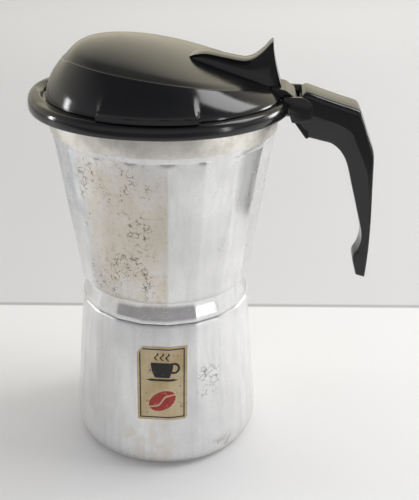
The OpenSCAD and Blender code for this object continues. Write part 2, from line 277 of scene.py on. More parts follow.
def place(ob, turn_angle, axis, offset):
    """Turns the mesh about an axis through the origin, then moves it by an offset in millimetres."""
    move = Matrix.Translation([c * MM for c in offset])
    ob.data.transform(move @ Matrix.Rotation(turn_angle, 4, axis))
    return ob


def finish_piece(ob, body, material, slot, *nodes):
    """Gives a piece its material and body, and hides the CAD nodes that it stands in for; the slot is not used."""
    ob.data.materials.clear()
    ob.data.materials.append(material)
    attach(ob, body)
    if nodes:
        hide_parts(*nodes)
    return ob


# ---------------------------------------------------------------- material helpers
class Nodes:
    """Short names for building a node tree."""

    def __init__(self, name):
        self.mat = bpy.data.materials.new(name)
        self.mat.use_nodes = True
        self.tree = self.mat.node_tree
        self.shader = self.tree.nodes["Principled BSDF"]
        self.place = self.add("ShaderNodeTexCoord").outputs["Object"]

    def add(self, kind, **props):
        node = self.tree.nodes.new(kind)
        for k, v in props.items():
            setattr(node, k, v)
        return node

    def link(self, a, b):
        self.tree.links.new(a, b)

    def put(self, socket, value):
        if hasattr(value, "is_linked"):
            self.link(value, socket)
        else:
            socket.default_value = value

    def stretch(self, scale, rotate=(0, 0, 0)):
        node = self.add("ShaderNodeMapping")
        node.inputs["Scale"].default_value = scale
        node.inputs["Rotation"].default_value = rotate
        self.link(self.place, node.inputs["Vector"])
        return node.outputs["Vector"]

    def wobble(self, scale, amount):
        """Place in space, shaken by a fine noise."""
        noise = self.add("ShaderNodeTexNoise")
        noise.inputs["Scale"].default_value = scale
        self.link(self.place, noise.inputs["Vector"])
        node = self.add("ShaderNodeVectorMath", operation="MULTIPLY_ADD")
        self.link(noise.outputs["Color"], node.inputs[0])
        node.inputs[1].default_value = (amount, amount, amount)
        self.link(self.place, node.inputs[2])
        return node.outputs[0]

    def noise(self, scale, detail=3, rough=0.55, vector=None, distort=0.0):
        node = self.add("ShaderNodeTexNoise")
        node.inputs["Scale"].default_value = scale
        node.inputs["Detail"].default_value = detail
        node.inputs["Roughness"].default_value = rough
        node.inputs["Distortion"].default_value = distort
        self.link(vector or self.place, node.inputs["Vector"])
        return node.outputs["Fac"]

    def cells(self, scale, feature="F1", vector=None):
        node = self.add("ShaderNodeTexVoronoi", feature=feature)
        node.inputs["Scale"].default_value = scale
        self.link(vector or self.place, node.inputs["Vector"])
        return node.outputs["Distance"]

    def math(self, operation, a, b=0.5):
        node = self.add("ShaderNodeMath", operation=operation)
        self.put(node.inputs[0], a)
        self.put(node.inputs[1], b)
        return node.outputs[0]

    def span(self, value, low, high, to_low=0.0, to_high=1.0):
        """Maps low..high to to_low..to_high, clamped and smooth."""
        node = self.add("ShaderNodeMapRange", interpolation_type="SMOOTHSTEP")
        self.put(node.inputs["Value"], value)
        for k, v in (("From Min", low), ("From Max", high), ("To Min", to_low), ("To Max", to_high)):
            node.inputs[k].default_value = v
        return node.outputs["Result"]

    def mix(self, factor, a, b):
        node = self.add("ShaderNodeMix", data_type="RGBA")
        self.put(node.inputs["Factor"], factor)
        for key, value in (("A", a), ("B", b)):
            socket = next(s for s in node.inputs if s.name == key and s.type == "RGBA")
            self.put(socket, (*value, 1) if isinstance(value, tuple) else value)
        return next(s for s in node.outputs if s.type == "RGBA")

    def axis(self, which):
        node = self.add("ShaderNodeSeparateXYZ")
        self.link(self.place, node.inputs[0])
        return node.outputs["XYZ".index(which)]

    def around(self):
        """Angle round Z from +X, in radians, -pi to pi."""
        return self.math("ARCTAN2", self.axis("Y"), self.axis("X"))

    def both(self, a, b):
        """Product of two masks."""
        return self.math("MULTIPLY", a, b)

    def either(self, a, b):
        """Greater of two masks."""
        return self.math("MAXIMUM", a, b)

    def bump(self, height, strength, distance=0.0004, before=None):
        node = self.add("ShaderNodeBump")
        node.inputs["Strength"].default_value = strength
        node.inputs["Distance"].default_value = distance
        self.link(height, node.inputs["Height"])
        if before is not None:
            self.link(before, node.inputs["Normal"])
        return node.outputs["Normal"]

    def set(self, **values):
        for key, value in values.items():
            self.put(self.shader.inputs[key.replace("_", " ")], value)
        return self.mat


# ---------------------------------------------------------------- materials
def black_moulding(name, seed):
    """Old glossy black bakelite: dust, hairlines and patches where the gloss has gone."""
    fresh, worn, dust = (0.0035, 0.0035, 0.0045), (0.007, 0.007, 0.007), (0.30, 0.29, 0.26)
    n = Nodes(name)
    patches = n.noise(28 + seed, 4, 0.6)
    hair = n.noise(420, 2, 0.5, n.stretch((1, 14, 3), (0.3, 0.2, seed)))
    specks = n.span(n.cells(1500), 0.02, 0.10, 1.0, 0.0)
    rare = n.span(n.noise(160 + seed, 2), 0.60, 0.72)
    rough = n.span(patches, 0.35, 0.75, 0.10, 0.22)
    rough = n.math("ADD", rough, n.span(hair, 0.60, 0.75, 0.0, 0.10))
    colour = n.mix(n.span(patches, 0.3, 0.8), fresh, worn)
    colour = n.mix(n.both(specks, rare), colour, dust)
    ripple = n.bump(n.noise(60, 2, 0.4), 0.12, 0.0005)
    normal = n.bump(hair, 0.05, 0.0001, ripple)
    return n.set(Base_Color=colour, Roughness=rough, IOR=1.56, Normal=normal)


def bare_aluminium(name, tone, rough_low, rough_high):
    """Start of an aluminium material: returns the tree, its colour, roughness and normal."""
    n = Nodes(name)

    def darker(share):
        return tuple(c * share for c in tone)

    cloud = n.noise(26, 6, 0.62)
    streak = n.noise(240, 5, 0.65, n.stretch((1, 1, 0.07)))
    broad = n.noise(60, 3, 0.6, n.stretch((1, 1, 0.10)))
    fine = n.noise(1100, 3, 0.6)
    hair = n.noise(700, 2, 0.5, n.stretch((1, 1, 9), (0.5, 0.3, 0.4)))
    colour = n.mix(n.span(cloud, 0.35, 0.7), tone, darker(0.88))
    colour = n.mix(n.span(streak, 0.42, 0.72, 0, 0.55), colour, darker(0.78))
    colour = n.mix(n.span(fine, 0.55, 0.75, 0, 0.35), colour, darker(0.70))
    rough = n.span(cloud, 0.3, 0.75, rough_low, rough_high)
    rough = n.math("ADD", rough, n.span(broad, 0.35, 0.7, -0.03, 0.08))
    rough = n.math("ADD", rough, n.span(hair, 0.62, 0.75, 0, 0.10))
    ripple = n.bump(broad, 0.10, 0.0006)
    return n, colour, rough, n.bump(fine, 0.10, 0.0002, ripple)


def zone(n, centre, half, soft, low, high, fade):
    """1 inside a patch of the wall, given by an angle in degrees and heights in millimetres."""
    off = n.math("ABSOLUTE", n.math("SUBTRACT", n.around(), math.radians(centre)))
    wide = n.span(off, math.radians(half - soft), math.radians(half), 1.0, 0.0)
    height = n.axis("Z")
    up = n.span(height, (low - fade) * MM, (low + fade) * MM)
    down = n.span(height, (high - fade) * MM, (high + fade) * MM, 1.0, 0.0)
    return n.both(wide, n.both(up, down))


def corrosion(n, scale):
    """Curling dark lines and specks, as pitting leaves on cast aluminium."""
    shaken = n.wobble(scale * 0.7, 0.0022)
    lines = n.span(n.cells(scale, "DISTANCE_TO_EDGE", shaken), 0.02, 0.09, 1.0, 0.0)
    broken = n.span(n.noise(scale * 0.8, 3, 0.6), 0.46, 0.56)
    specks = n.span(n.cells(scale * 2.2), 0.14, 0.30, 1.0, 0.0)
    rare = n.span(n.noise(scale * 0.9, 2, 0.5), 0.50, 0.60)
    return n.either(n.both(lines, broken), n.both(specks, rare))


def collector_metal():
    """Cast and polished aluminium with tan tide marks and corrosion on the front-left facets, and a bluish sheen
    painted on the upper left.
    """
    silver, painted_sheen_blue, tan, brown = (0.86, 0.86, 0.86), (0.50, 0.54, 0.62), (0.74, 0.67, 0.56), (0.42, 0.37, 0.31)
    pit, cream, dull_cream = (0.13, 0.115, 0.10), (0.90, 0.87, 0.79), (0.70, 0.66, 0.58)
    n, colour, rough, normal = bare_aluminium("collector_metal", silver, 0.22, 0.36)
    height = n.axis("Z")

    # Painted reflection: a mottled bluish sheen painted into the colour of the upper left facets
    painted_sheen = zone(n, centre=-148, half=24, soft=14, low=128, high=176, fade=10)
    painted_sheen = n.both(painted_sheen, n.span(n.noise(60, 5, 0.7), 0.40, 0.60))
    colour = n.mix(n.both(painted_sheen, 0.6), colour, painted_sheen_blue)

    mottle = n.noise(52, 8, 0.72, n.stretch((1, 1, 0.6)), 0.4)
    tide = zone(n, centre=-107, half=26.5, soft=1.5, low=92, high=166, fade=7)
    tide = n.both(tide, n.span(mottle, 0.36, 0.60, 0.30, 1.0))
    tide = n.both(tide, n.span(n.around(), math.radians(-134), math.radians(-112), 0.35, 1.0))
    colour = n.mix(n.both(tide, 0.85), colour, tan)
    dirt = n.both(tide, n.span(n.noise(420, 6, 0.7), 0.52, 0.66))
    colour = n.mix(n.both(dirt, 0.45), colour, brown)
    rough = n.math("ADD", rough, n.both(tide, 0.14))

    clusters = n.span(n.noise(64, 5, 0.68, n.stretch((1, 1, 0.55))), 0.49, 0.56)
    many = n.both(zone(n, centre=-112, half=28, soft=12, low=96, high=168, fade=6), clusters)
    few = n.span(n.noise(34, 3), 0.64, 0.70, 0, 0.5)
    spot = zone(n, centre=-49, half=3, soft=2, low=121, high=127, fade=2)
    pits = n.both(corrosion(n, 380), n.either(n.either(many, few), spot))
    colour = n.mix(n.both(pits, 0.85), colour, pit)
    normal = n.bump(pits, -0.5, 0.0003, normal)

    band = n.span(height, (BAND_Z - 0.6) * MM, (BAND_Z + 0.4) * MM)
    creams = n.mix(n.span(n.noise(70, 5, 0.65), 0.4, 0.6), cream, dull_cream)
    colour = n.mix(n.both(band, 0.75), colour, creams)
    rough = n.math("ADD", rough, n.both(band, 0.14))

    skirt = n.span(height, 93.2 * MM, 94.2 * MM, 1.0, 0.0)
    rough = n.both(rough, n.math("SUBTRACT", 1.0, n.both(skirt, 0.25)))
    return n.set(Base_Color=colour, Metallic=1.0, Roughness=rough, Normal=normal)


def boiler_metal():
    """Duller aluminium with fine pits, a patch of curling scratches and a dark mark near the base."""
    silver, tan, brown = (0.87, 0.87, 0.87), (0.72, 0.66, 0.56), (0.40, 0.35, 0.28)
    pit, foot = (0.20, 0.19, 0.18), (0.46, 0.43, 0.39)
    n, colour, rough, normal = bare_aluminium("boiler_metal", silver, 0.28, 0.42)
    pits = n.span(n.cells(900), 0.10, 0.22, 1.0, 0.0)
    pits = n.both(pits, n.span(n.noise(55, 4, 0.7), 0.56, 0.66))
    scratched = zone(n, centre=-55, half=10, soft=5, low=41, high=57, fade=3)
    mark = zone(n, centre=-46, half=10, soft=6, low=4, high=13, fade=4)
    mark = n.both(mark, n.span(n.noise(150, 4, 0.7), 0.44, 0.56))
    curls = n.both(corrosion(n, 330), n.either(scratched, mark))
    damage = n.either(n.both(pits, 0.7), curls)
    beige = zone(n, centre=-96, half=22, soft=12, low=2, high=30, fade=8)
    beige = n.both(beige, n.span(n.noise(80, 6, 0.7), 0.40, 0.62))
    colour = n.mix(n.both(beige, 0.6), colour, tan)
    colour = n.mix(n.both(mark, 0.4), colour, brown)
    colour = n.mix(n.both(damage, 0.8), colour, pit)
    colour = n.mix(n.span(n.axis("Z"), 0.0, 0.009, 0.55, 0.0), colour, foot)
    normal = n.bump(damage, -0.4, 0.0003, normal)
    return n.set(Base_Color=colour, Metallic=1.0, Roughness=rough, Normal=normal)


def pressed_aluminium():
    """Duller sheet aluminium, for the funnel, the plates and the coffee tube."""
    n, colour, rough, normal = bare_aluminium("pressed_aluminium", (0.74, 0.74, 0.74), 0.30, 0.45)
    return n.set(Base_Color=colour, Metallic=1.0, Roughness=rough, Normal=normal)


def steel():
    """Drawn steel, for screws, pin and spring."""
    n = Nodes("steel")
    grain = n.noise(600, 3, 0.6, n.stretch((1, 1, 6)))
    colour = n.mix(n.span(grain, 0.4, 0.7), (0.56, 0.56, 0.57), (0.42, 0.42, 0.43))
    rough = n.span(grain, 0.3, 0.7, 0.2, 0.38)
    normal = n.bump(grain, 0.1, 0.0001)
    return n.set(Base_Color=colour, Metallic=1.0, Roughness=rough, Normal=normal)


def brass():
    """Tarnished brass, for the safety valve and the handle's insert."""
    n = Nodes("brass")
    tarnish = n.noise(140, 4, 0.6)
    colour = n.mix(n.span(tarnish, 0.4, 0.65), (0.66, 0.46, 0.18), (0.34, 0.22, 0.10))
    rough = n.span(tarnish, 0.3, 0.7, 0.22, 0.42)
    normal = n.bump(n.noise(500, 3), 0.12, 0.0002)
    return n.set(Base_Color=colour, Metallic=1.0, Roughness=rough, Normal=normal)


def rubber(name, light, dark):
    """Matt seal with darker marks."""
    n = Nodes(name)
    marks = n.noise(180, 4, 0.6)
    colour = n.mix(n.span(marks, 0.35, 0.7), light, dark)
    rough = n.span(marks, 0.3, 0.7, 0.5, 0.7)
    normal = n.bump(n.noise(900, 2), 0.15, 0.0002)
    return n.set(Base_Color=colour, Roughness=rough, Normal=normal)


BLACK_COLLAR = black_moulding("black_collar", 1)
BLACK_LID = black_moulding("black_lid", 2)
BLACK_HANDLE = black_moulding("black_handle", 3)
COLLECTOR_METAL = collector_metal()
BOILER_METAL = boiler_metal()
PRESSED = pressed_aluminium()
STEEL = steel()
BRASS = brass()
GASKET = rubber("gasket_rubber", (0.78, 0.74, 0.64), (0.60, 0.55, 0.45))
FIBRE = rubber("fibre_washer", (0.30, 0.09, 0.06), (0.18, 0.06, 0.05))


# ---------------------------------------------------------------- boiler
def boiler_outer(z):
    """Corner radius of the boiler's outside at a height: a rounded foot under a straight taper."""
    if z >= WIDEST_Z:
        taper = lerp(BOILER_R, SHOULDER_R + 0.25, (z - WIDEST_Z) / (SHOULDER_Z - WIDEST_Z))
        return taper - 0.5 * smooth(SHOULDER_Z - 1.0, SHOULDER_Z, z)
    below = 1 - z / WIDEST_Z
    return lerp(42.6, BOILER_R, math.sqrt(max(0.0, 1 - below ** 2.6)))


def boiler_section(angle):
    """Section of the boiler from under its foot, over the neck and back inside."""
    facet = facet_factor(angle)
    foot_z = [0, 0.25, 0.7, 1.4, 2.4, 3.6, 5, 6.5, 8.2, 10, WIDEST_Z]
    wall_z = [lerp(WIDEST_Z, SHOULDER_Z - 1.2, k / 24) for k in range(1, 25)]
    edge_z = [SHOULDER_Z - 0.8, SHOULDER_Z - 0.4, SHOULDER_Z - 0.1]
    under = [(0.01, 0.25), (38.0, 0.25), (39.5, 0.0)]
    outside = [(boiler_outer(z) * lerp(1, facet, smooth(0.5, 9, z)), z) for z in foot_z + wall_z + edge_z]
    neck = [
        (SHOULDER_R - 1.2, SHOULDER_Z), (NECK_R + 0.4, SHOULDER_Z), (NECK_R, SHOULDER_Z + 0.4),
        (NECK_R, NECK_TOP_Z - 0.3), (NECK_R - 0.3, NECK_TOP_Z), (NECK_BORE_R + 0.3, NECK_TOP_Z),
        (NECK_BORE_R, NECK_TOP_Z - 0.3),
    ]
    inside = [
        (NECK_BORE_R, 80.4), (NECK_BORE_R + 2, 78), (SHOULDER_R - 3.4, 73.4), (46.6, WIDEST_Z),
        (45.8, 8), (43, 4.4), (38.5, 3), (0.01, 3),
    ]
    return under + outside + neck + inside


def helix(name, r_in, w_in, r_out, w_out, turns, z0, start=0.0):
    """Thread ridge that grows from nothing and dies away at its ends."""
    steps = int(turns * 96)
    inward = r_out > SKIRT_BORE_R
    rings = []
    for i in range(steps + 1):
        t = i / steps
        a = start + 2 * math.pi * turns * t
        z = z0 + PITCH * turns * t
        grow = smooth(0, 0.06, t) * smooth(0, 0.06, 1 - t)
        inner = lerp(r_out - 0.4, r_in, grow) if inward else r_in
        outer = r_out if inward else lerp(r_in + 0.4, r_out, grow)
        section = [(inner, -w_in / 2), (outer, -w_out / 2), (outer, w_out / 2), (inner, w_in / 2)]
        rings.append([(r * math.cos(a), r * math.sin(a), z + dz) for r, dz in section])
    verts, faces = skin(rings)
    return new_object(name, verts, faces, 30)


def make_boiler():
    """Lower body, with the outer thread on its neck."""
    shell = turned("boiler_shell", boiler_section, 360)
    root, crest = NECK_R - RIDGE_BURIED, NECK_R + RIDGE_DEPTH
    ridge = helix("boiler_thread", root, RIDGE_ROOT_W, crest, RIDGE_CREST_W, 1.75, RIDGE_Z)
    finish_piece(join(shell, ridge), "base", BOILER_METAL, "boiler", "boiler")


# ---------------------------------------------------------------- collector
def collector_section(angle):
    """Section of the collector from its bore, round the skirt and the wall, to the inner floor."""
    facet = facet_factor(angle)
    curve_z, wall_top = 98.6, BAND_Z - 3.4
    out = [
        (TUBE_R, SEAT_Z), (SKIRT_BORE_R - 0.4, SEAT_Z), (SKIRT_BORE_R, SEAT_Z - 0.4),
        (SKIRT_BORE_R, SKIRT_Z + 0.4), (SKIRT_BORE_R + 0.4, SKIRT_Z),
        ((SHOULDER_R - 0.7) * facet, SKIRT_Z), ((SHOULDER_R - 0.15) * facet, SKIRT_Z + 0.3),
        (SHOULDER_R * facet, SKIRT_Z + 0.9),
        (lerp(SHOULDER_R, WAIST_R, 0.25) * facet, SKIRT_Z + 3.0),
        (lerp(SHOULDER_R, WAIST_R, 0.75) * facet, SKIRT_Z + 7.5),
        (WAIST_R * facet, 92.8), ((WAIST_R + 0.1) * facet, 93.5),
    ]
    for k in range(9):
        t = k / 8 * math.pi / 2
        r = lerp(WAIST_R + 0.5, BELLY_R + 0.1, math.sin(t))
        out.append((r * lerp(1, facet, 0.6 + 0.4 * k / 8), lerp(93.8, curve_z, 1 - math.cos(t))))
    for k in range(1, 41):
        z = lerp(curve_z, wall_top, k / 40)
        out.append((lerp(BELLY_R, RIM_R, (z - BELLY_Z) / (RIM_Z - BELLY_Z)) * facet, z))
    band_steps = [(-3.0, 0.15, 0.6), (-2.6, 0.3, 0.35), (-0.5, 0.3, 0.2), (-0.2, 0.55, 0.0), (0.4, 0.55, 0.0)]
    for dz, lift, share in band_steps:
        r = BAND_R + 0.14 * dz + lift - 0.35
        out.append((r * lerp(0.998, facet, share), BAND_Z + dz))
    out += [
        (RIM_R - 0.3, RIM_Z - 0.4), (RIM_R - 0.5, RIM_Z), (RIM_R - WALL + 0.2, RIM_Z),
        (RIM_R - WALL, RIM_Z - 0.4), (BAND_R * FLAT_SHARE - WALL, BAND_Z), (41.7, 105),
        (40.6, 102.2), (38.1, FLOOR_Z), (TUBE_R, FLOOR_Z),
    ]
    return out


def make_collector():
    """Upper body, with the inner thread in its skirt."""
    shell = turned("collector_shell", collector_section, 360)
    crest, root = SKIRT_BORE_R - RIDGE_DEPTH, SKIRT_BORE_R + RIDGE_BURIED
    ridge = helix("collector_thread", crest, RIDGE_CREST_W, root, RIDGE_ROOT_W, 1.5, RIDGE_Z, math.pi)
    finish_piece(join(shell, ridge), "top", COLLECTOR_METAL, "collector", "collector")


# ---------------------------------------------------------------- collar with its pour lip and hinge lug
def collar_reach(angle):
    """Outer radius of the collar: round, with its front drawn out into the lip."""
    return COLLAR_R + LIP_REACH * max(0.0, -math.cos(angle))


def collar_top(radius, angle):
    """Height of the collar's upper face: a flat ledge, with a raised and dished pouring lip in front."""
    x, y = radius * math.cos(angle), radius * math.sin(angle)
    rise = max(0.0, LIP_Z - LEDGE_Z - y * y / 900) * smooth(-30, -48, x) * smooth(56.4, 58.8, radius)
    dish_r = 27.0
    depth = 5.0
    ball = (dish_r ** 2 + depth ** 2) / (2 * depth)
    away = min(ball, math.hypot(x + COLLAR_R + LIP_REACH - dish_r - 3, y))
    dish = LIP_Z - depth + ball - math.sqrt(ball ** 2 - away ** 2)
    channel = smooth(58.4, 56.9, radius) * smooth(-30, -44, x) * smooth(23, 14, abs(y))
    return lerp(min(LEDGE_Z + rise, dish), 184.95, channel)


def collar_section(angle):
    """Section of the collar: its outer face, the ledge or lip, the bore and the groove on the rim."""
    bore, groove = 52.0, 57.0
    outer = collar_reach(angle)
    low = COLLAR_LOW_Z
    top = collar_top(outer - 2.2, angle)
    face = [
        (groove, low), (outer - 1.1, low), (outer - 0.5, low + 0.25), (outer - 0.12, low + 1.0),
        (outer, low + 2.2), (outer - 0.1, top - 3.0), (outer - 0.35, top - 1.9),
        (outer - 0.8, top - 1.0), (outer - 1.4, top - 0.35),
    ]
    ledge = [(r, collar_top(r, angle)) for r in (lerp(outer - 2.1, bore + 1.2, k / 14) for k in range(15))]
    inner_top = min(LEDGE_Z - 0.25, collar_top(bore + 0.4, angle) - 0.1)
    inside = [
        (bore + 0.4, inner_top), (bore, inner_top - 0.5), (bore, GROOVE_TOP_Z + 0.2),
        (bore + 0.3, GROOVE_TOP_Z), (groove - 0.2, GROOVE_TOP_Z), (groove, GROOVE_TOP_Z - 0.3),
    ]
    return face + ledge + inside


def cheek_outline():
    """Side outline of one cheek of the hinge lug."""
    corners = [(56.7, 183.0), (56.7, 189.5), (66.7, 189.5), (70.6, 186.6), (70.4, 178.4), (66.5, 177.6)]
    corners += [(61.4, 177.6), (60.4, 180.0), (60.3, 183.0)]
    return rounded(corners, [0.3, 1.2, 2.6, 3.0, 3.5, 2.0, 0.5, 0.5, 0.3])


def make_collar():
    """Collar with its lug, the boss for the handle's screw, and two cheeks for the hinge pin."""
    ring = turned("collar", collar_section, 360)
    block = [(54, 181.1), (54, 187.5), (61.4, 187.5), (61.4, 181.1)]
    lug = extrude_side("lug", block, -CHEEK_OUT + 0.2, CHEEK_OUT - 0.2, 0.8)
    boolean(ring, apply_modifiers(lug), "UNION")
    stub = [(0.01, -57.6), (3.1, -57.6), (3.1, -61.4), (0.01, -61.4)]
    boss = turned("boss", lambda a: stub, 48)
    boolean(ring, place(boss, -math.pi / 2, "Y", (0, 0, 180)), "UNION")
    gap = [(55.0, 182.6), (55.0, 200), (80, 200), (80, 182.6)]
    boolean(ring, extrude_side("pocket", gap, -CHEEK_IN, CHEEK_IN, 0), "DIFFERENCE")
    hole = [(0.01, 170), (56.9, 170), (56.9, GROOVE_TOP_Z), (0.01, GROOVE_TOP_Z)]
    bore = turned("bore", lambda a: hole, 180)
    boolean(ring, bore, "DIFFERENCE")
    for y0, y1 in ((-CHEEK_OUT, -CHEEK_IN), (CHEEK_IN, CHEEK_OUT)):
        join(ring, apply_modifiers(extrude_side("cheek", cheek_outline(), y0, y1, 0.5)))
    ring.data.shade_smooth()
    ring.data.set_sharp_from_angle(angle=math.radians(35))
    finish_piece(ring, "top", BLACK_COLLAR, "collar", "collar")


# ---------------------------------------------------------------- lid
TAB_HALF = math.radians(22)
ARCH_HALF = math.radians(25)
ARCH_H = 7.8
FRONT_X = 51.4


def foot_radius(a):
    """Radius of the lid's foot."""
    return 57 - 0.5 * ((1 - math.cos(a)) / 2) ** 3


def crease_radius(a):
    """Radius of the crease where the wall ends and the crown starts."""
    return 46 + 1.5 * (1 - math.cos(a)) / 2 + 3 * ((1 + math.cos(a)) / 2) ** 2


def crease_z(x):
    """Height of the crease, which slopes down to both ends of the lid."""
    return 202.6 - 0.13 * x - 0.0012 * x * x - 3 * math.exp(-(((x + 48) / 6) ** 2))


def crown_z(x, t):
    """Height of the crown at a share t of the crease's radius."""
    return crease_z(x) + (5.4 - 0.12 * x) * max(0.0, 1 - t * t) ** 0.66


def tab_weight(a):
    """1 on the two side tabs of the lid, 0 elsewhere."""
    off = min(abs(a - math.pi / 2), abs(a - 3 * math.pi / 2))
    return 1 - smooth(TAB_HALF - 0.012, TAB_HALF + 0.012, off)


def foot_z(a):
    """Height of the lid's lower edge, raised in an arch over the spout."""
    off = abs(a - math.pi) / ARCH_HALF
    return LID_LOW_Z + (ARCH_H * (1 - off ** 2) ** 0.8 if off < 1 else 0)


def wall_radius(a, z, inset):
    """Radius of the lid's wall, with the tabs' flare on the outside and a flat cut across the front."""
    rc = crease_radius(a)
    top = crease_z(rc * math.cos(a))
    s = min(1.0, max(0.0, (z - LID_LOW_Z) / (top - LID_LOW_Z)))
    r = rc + (foot_radius(a) - rc) * (1 - s ** 1.5)
    if inset == 0:
        over = z - LID_LOW_Z
        flare = max(0.0, 1 - max(0.0, over - 2.6) / 8.0) ** 2.4
        reach = lerp(60.7, 59.4, smooth(2.1, 2.7, over)) - foot_radius(a)
        r += tab_weight(a) * reach * flare
    front = -math.cos(a)
    if front > 0.5:
        r = min(r, FRONT_X / front)
    return r - inset


WALL_SHARES = [
    0, 0.01, 0.04, 0.09, 0.13, 0.145, 0.16, 0.175, 0.19, 0.205, 0.23, 0.28, 0.34, 0.42, 0.52, 0.60,
    0.68, 0.76, 0.83, 0.89, 0.94, 0.98, 1.0,
]
CREASE_BEAD = [(0.25, 0.10), (0.6, 0.05), (0.95, 0.12)]


def lid_rings(inset):
    """Rings from the lid's foot to the middle of its crown."""
    outside = inset == 0
    steps = 360
    crown_steps = 31
    angles = [2 * math.pi * i / steps for i in range(steps)]

    def ring(point):
        """Ring through (radius, height) at each angle."""
        return [(r * math.cos(a), r * math.sin(a), z) for a, (r, z) in ((a, point(a)) for a in angles)]

    def crease_height(a):
        return crease_z(crease_radius(a) * math.cos(a))

    def wall(a, s):
        z = lerp(foot_z(a), crease_height(a) - inset, s)
        return wall_radius(a, z + inset * s, inset), z

    def crown(a, t):
        r = (crease_radius(a) - 1.0 - inset) * t
        lift = 0.25 * smooth(1, 0.9, t) if outside else 0
        return r, crown_z(r * math.cos(a), t) + lift - inset

    rings = [ring(lambda a: wall(a, s)) for s in WALL_SHARES]
    for back, up in CREASE_BEAD if outside else []:
        rings.append(ring(lambda a: (crease_radius(a) - back, crease_height(a) + up)))
    for k in range(1, crown_steps):
        t = 0.985 * (1 - k / crown_steps) ** 0.85 if k > 1 else 0.98
        rings.append(ring(lambda a: crown(a, t)))
    return rings


FIN_TOP = [
    (11.5, 204.3), (15.0, 206.0), (20.4, 206.7), (28.5, 205.4), (35.7, 204.15), (39.5, 204.1),
    (43.2, 205.6), (46.8, 208.6), (49.2, 211.3), (50.75, 212.85),
]
FIN_BACK = [(51.3, 212.2), (51.5, 209.3), (52.2, 205.5), (53.0, 202.0), (54.5, 196.6), (56.3, 191.2)]


def make_fin():
    """Thumb fin: lofted along its side outline, with a slight waist between the foot and the top."""
    top_steps, back_steps = 40, 16
    path = [along(FIN_TOP, k / top_steps) for k in range(top_steps + 1)]
    path += [along(FIN_BACK, k / back_steps) for k in range(back_steps + 1)]
    rings = []
    for k, (x, z) in enumerate(path):
        if k > top_steps:
            t = (k - top_steps - 1) / back_steps
            foot_x = lerp(49.5, 52, t)
            foot = lerp(191.0, 188.6, t)
        else:
            foot_x = min(x, 50.0)
            foot = min(z - 1.5, crown_z(foot_x, min(0.99, foot_x / 47)) - 1.6)
        grow = smooth(8.5, 17, x)
        wide = lerp(2.5, 6.0, grow)
        low_wide = lerp(3.5, 7.6, grow)
        section = []
        for side in (-1, 1):
            half = []
            for v in (0, 0.2, 0.4, 0.6, 0.8, 0.93, 0.985):
                w = lerp(low_wide, wide, v) - 0.9 * math.sin(math.pi * v) * grow
                half.append((lerp(foot_x, x, v), side * w, lerp(foot, z, v)))
            half.append((x, side * (wide - 0.45), z))
            section.append(half)
        rings.append(section[0] + section[1][::-1])
    verts, faces = skin(rings)
    return new_object("fin", verts, faces, 40)


def make_lid():
    """Hollow lid with its fin, and the arm and knuckle that sit between the collar's cheeks."""
    verts, faces = skin(lid_rings(0)[::-1] + lid_rings(LID_WALL))
    lid = new_object("lid", verts, faces, 32)
    side = [
        (51, 188.3), (56.4, 188.3), (58.4, 185.2), (61.5, 184.5), (62.6, 188.6), (58.2, 191.9), (51, 193.2),
    ]
    arm = apply_modifiers(extrude_side("arm", rounded(side, 1.0), -ARM_HALF, ARM_HALF, 0.5))
    end, bore, outer = ARM_HALF, 1.55, 3.4
    tube = [
        (bore, -end), (outer - 0.3, -end), (outer, 0.4 - end),
        (outer, end - 0.4), (outer - 0.3, end), (bore, end),
    ]
    knuckle = place(turned("knuckle", lambda a: tube, 64), math.pi / 2, "X", (HINGE_X, 0, HINGE_Z))
    join(lid, make_fin(), arm, knuckle)
    finish_piece(lid, "lid", BLACK_LID, "lid", "lid")


# ---------------------------------------------------------------- handle
HANDLE_OUT = [
    (64.95, 188.0), (65.9, 189.9), (68.2, 191.1), (76, 188.7), (84, 186.2), (90.2, 184.4),
    (92.8, 183.2), (94.4, 180.4), (97.2, 173.4), (99.9, 166.6), (101.3, 161.4), (101.9, 153),
    (102.3, 144), (102.8, 134), (103.2, 124), (103.4, 114), (103.3, 105), (103.0, 97.4),
]
HANDLE_IN = [
    (64.95, 183.0), (64.2, 177.2), (67.0, 170.6), (74.5, 168.2), (80.4, 166.8), (84.0, 164.4),
    (86.4, 161.6), (88.6, 157.6), (90.6, 151.6), (92.4, 145.0), (94.5, 138.0), (96.2, 131.8),
    (97.9, 126.0), (99.2, 120.6), (99.5, 115.6), (98.4, 111.0), (96.3, 106.0), (98.4, 97.6),
]
# Share of the thickness where the narrower inner part begins, and half of the width, along the handle
HANDLE_STEP = [
    (0, 0.55), (0.3, 0.52), (0.42, 0.52), (0.55, 0.62), (0.66, 0.72), (0.78, 0.84), (0.9, 0.93), (1, 0.93),
]
HANDLE_HALF = [(0, 10.95), (0.42, 10.95), (0.6, 10.4), (0.8, 9.2), (1, 7.6)]
CORNER_RADII = [2.8, 0.15, 0.2, 1.6, 1.6, 0.2, 0.15, 2.8]
# Share of the end section's size and its push outwards, for the rings that round off each end
FRONT_CAP = [(0.90, -0.30), (0.96, -0.22), (0.99, -0.10)]
END_CAP = [(0.97, -0.7), (0.90, -1.25), (0.78, -1.6)]
TOE = [
    (61.75, 178.2), (61.75, 182.5), (66, 182.5), (70, 176), (70, 169.2), (68.6, 168.6), (64.9, 173.4),
    (62.5, 176.6),
]


